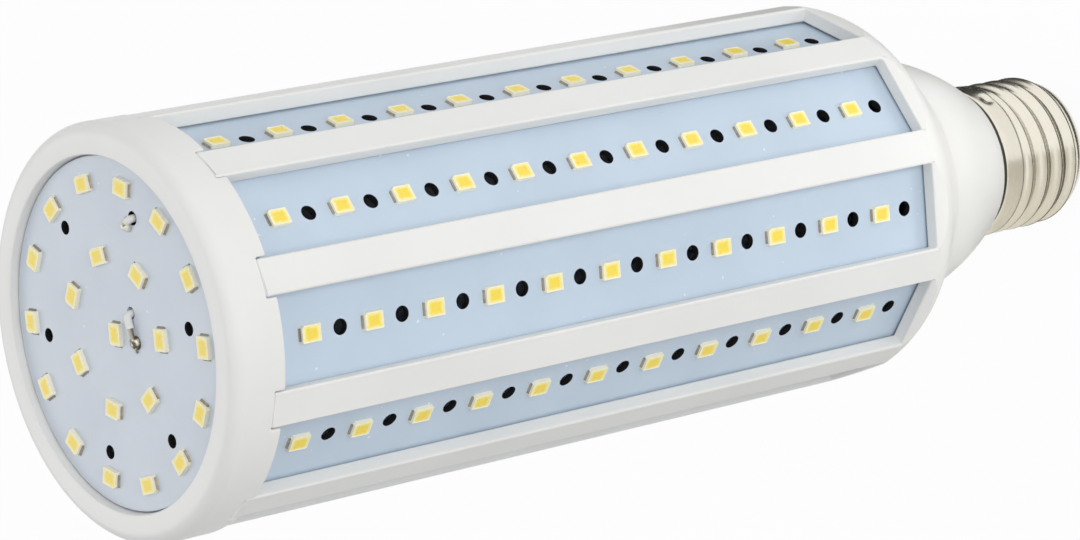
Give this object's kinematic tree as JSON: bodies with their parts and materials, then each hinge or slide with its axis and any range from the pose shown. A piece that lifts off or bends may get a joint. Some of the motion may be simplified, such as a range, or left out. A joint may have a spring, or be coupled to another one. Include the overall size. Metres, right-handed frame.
{
  "type": "corn led bulb",
  "caption": "Corn-style LED bulb: ribbed prism of vented LED boards, round LED end board in a white cap ring, tapered white neck and a metal screw base.",
  "frame": {"origin": "centre of the end contact of the screw base, on the lamp's axis", "axes": "+Z along the lamp's axis from the base to the cap ring; +X through the rib that faces the viewer"},
  "size_m": [0.0644, 0.0644, 0.202],
  "materials": {
    "nickel_shell": "bright nickel plate, faintly warm",
    "contact_metal": "tinned brass, satin",
    "dark_insulator": "glossy black",
    "white_plastic": "smooth moulded white, semi-gloss",
    "board_mask": "cool white solder mask on aluminium, satin",
    "led_package": "white package with a yellow phosphor window",
    "circuit_board": "green solder mask",
    "black_sleeve": "black shrink sleeve",
    "film_case": "yellow moulded case",
    "ferrite": "dark grey ferrite and winding",
    "black_epoxy": "black moulding compound",
    "resistor_coat": "grey-blue lacquer",
    "lead_white": "white insulation with tinned ends"
  },
  "bodies": {
    "root": {"screw_shell": "nickel_shell", "centre_contact": "contact_metal", "base_insulator": "dark_insulator", "lamp_body": "white_plastic", "cap_ring": "white_plastic", "front_board": "board_mask", "front_leds": "led_package", "driver_board": "circuit_board", "bulk_capacitor": "black_sleeve", "film_capacitor": "film_case", "inductor": "ferrite", "bridge_rectifier": "black_epoxy", "driver_chip": "black_epoxy", "fuse_resistor": "resistor_coat", "live_lead": "lead_white", "neutral_lead": "lead_white", "feed_lead": "lead_white", "link_lead": "lead_white", "return_lead": "lead_white", "board_jumpers": "lead_white", "side_board_01": "board_mask", "side_leds_01": "led_package", "side_board_02": "board_mask", "side_leds_02": "led_package", "side_board_03": "board_mask", "side_leds_03": "led_package", "side_board_04": "board_mask", "side_leds_04": "led_package", "side_board_05": "board_mask", "side_leds_05": "led_package", "side_board_06": "board_mask", "side_leds_06": "led_package", "side_board_07": "board_mask", "side_leds_07": "led_package", "side_board_08": "board_mask", "side_leds_08": "led_package", "side_board_09": "board_mask", "side_leds_09": "led_package", "side_board_10": "board_mask", "side_leds_10": "led_package"}
  },
  "joints": []
}
